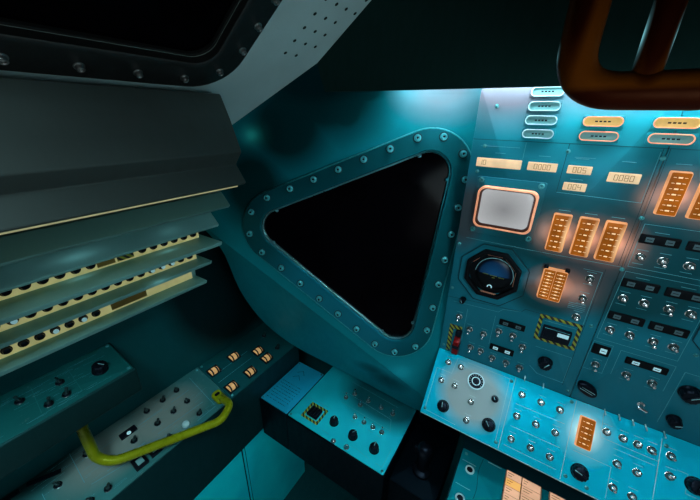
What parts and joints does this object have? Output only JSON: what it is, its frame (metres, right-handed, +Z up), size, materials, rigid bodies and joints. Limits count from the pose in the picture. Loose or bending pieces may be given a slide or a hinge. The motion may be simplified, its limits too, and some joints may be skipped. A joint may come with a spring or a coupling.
{
  "type": "spacecraft cockpit section",
  "caption": "Front corner of a crew cabin with instrument panels, a triangular window facet, side and sill consoles, breaker shelves and a sloped ceiling.",
  "frame": {"origin": "under the middle of the whole section, at the deck's underside", "axes": "+Z up, +Y forward towards the main panel, +X right along the main panel"},
  "size_m": [1.262, 0.943, 1.765],
  "materials": {
    "teal_panel": "satin spray paint with fine scuffs",
    "teal_shell": "satin spray paint",
    "instrument_face": "satin spray paint with engraved lines",
    "slate_paint": "matt paint",
    "black_paint": "matt black paint",
    "ceiling_lining": "perforated lining, matt paint",
    "dark_pane": "dark coated pane",
    "copper_bezel": "metallic copper enamel",
    "screen_glass": "lit grey screen",
    "black_instrument": "black anodised look",
    "ball_blue": "two-tone ball",
    "lit_white": "back-lit legend window",
    "lit_amber": "back-lit legend lamp",
    "lit_readout": "lit digit window",
    "red_guard": "switch guard",
    "legend_card": "back-lit card",
    "yellow_green": "gloss paint",
    "orange_brown": "gloss paint",
    "cream_bar": "satin paint",
    "lamp_white": "lamp tube",
    "lamp_cream": "strip light"
  },
  "bodies": {
    "root": {"deck": "teal_shell", "side_wall": "teal_shell", "front_wall": "teal_shell", "window_facet": "teal_shell", "lower_facet": "teal_shell", "corner_hull": "black_paint", "sloped_ceiling": "ceiling_lining", "flat_overhead": "black_paint", "overhead_window_ring": "black_paint", "overhead_window_pane": "dark_pane", "soffit": "black_paint", "cove_lamp": "lamp_white", "window_ring": "teal_panel", "window_pane": "dark_pane", "main_housing": "slate_paint", "main_panel_left": "instrument_face", "main_panel_right": "instrument_face", "display_bezel_left": "copper_bezel", "display_bezel_right": "copper_bezel", "display_screen_left": "screen_glass", "display_screen_right": "screen_glass", "attitude_bezel_left": "black_instrument", "attitude_bezel_right": "black_instrument", "attitude_ball_left": "ball_blue", "attitude_ball_right": "ball_blue", "caution_lights": "lit_white", "readout_windows": "lit_readout", "lamp_banks_centre": "lit_amber", "lamp_banks_right": "lit_amber", "lamp_bank_double": "lit_amber", "lamp_bank_lower": "lit_amber", "hazard_module": "black_instrument", "guarded_switch": "red_guard", "lower_housing": "slate_paint", "lower_panel": "teal_panel", "lower_dial": "black_instrument", "centre_console": "teal_panel", "legend_card_1": "legend_card", "legend_card_2": "legend_card", "sill_console": "teal_panel", "controller_shelf": "slate_paint", "hand_controller": "black_instrument", "side_console": "teal_shell", "side_plinth": "teal_shell", "side_panel_aft": "teal_panel", "side_panel_forward": "teal_panel", "upper_side_box": "teal_panel", "side_rail": "yellow_green", "hood": "slate_paint", "hood_light": "lamp_cream", "breaker_ledges": "teal_shell", "breaker_bar_upper": "cream_bar", "breaker_bar_middle": "cream_bar", "breaker_bar_lower": "cream_bar", "overhead_rail": "orange_brown"}
  },
  "joints": []
}
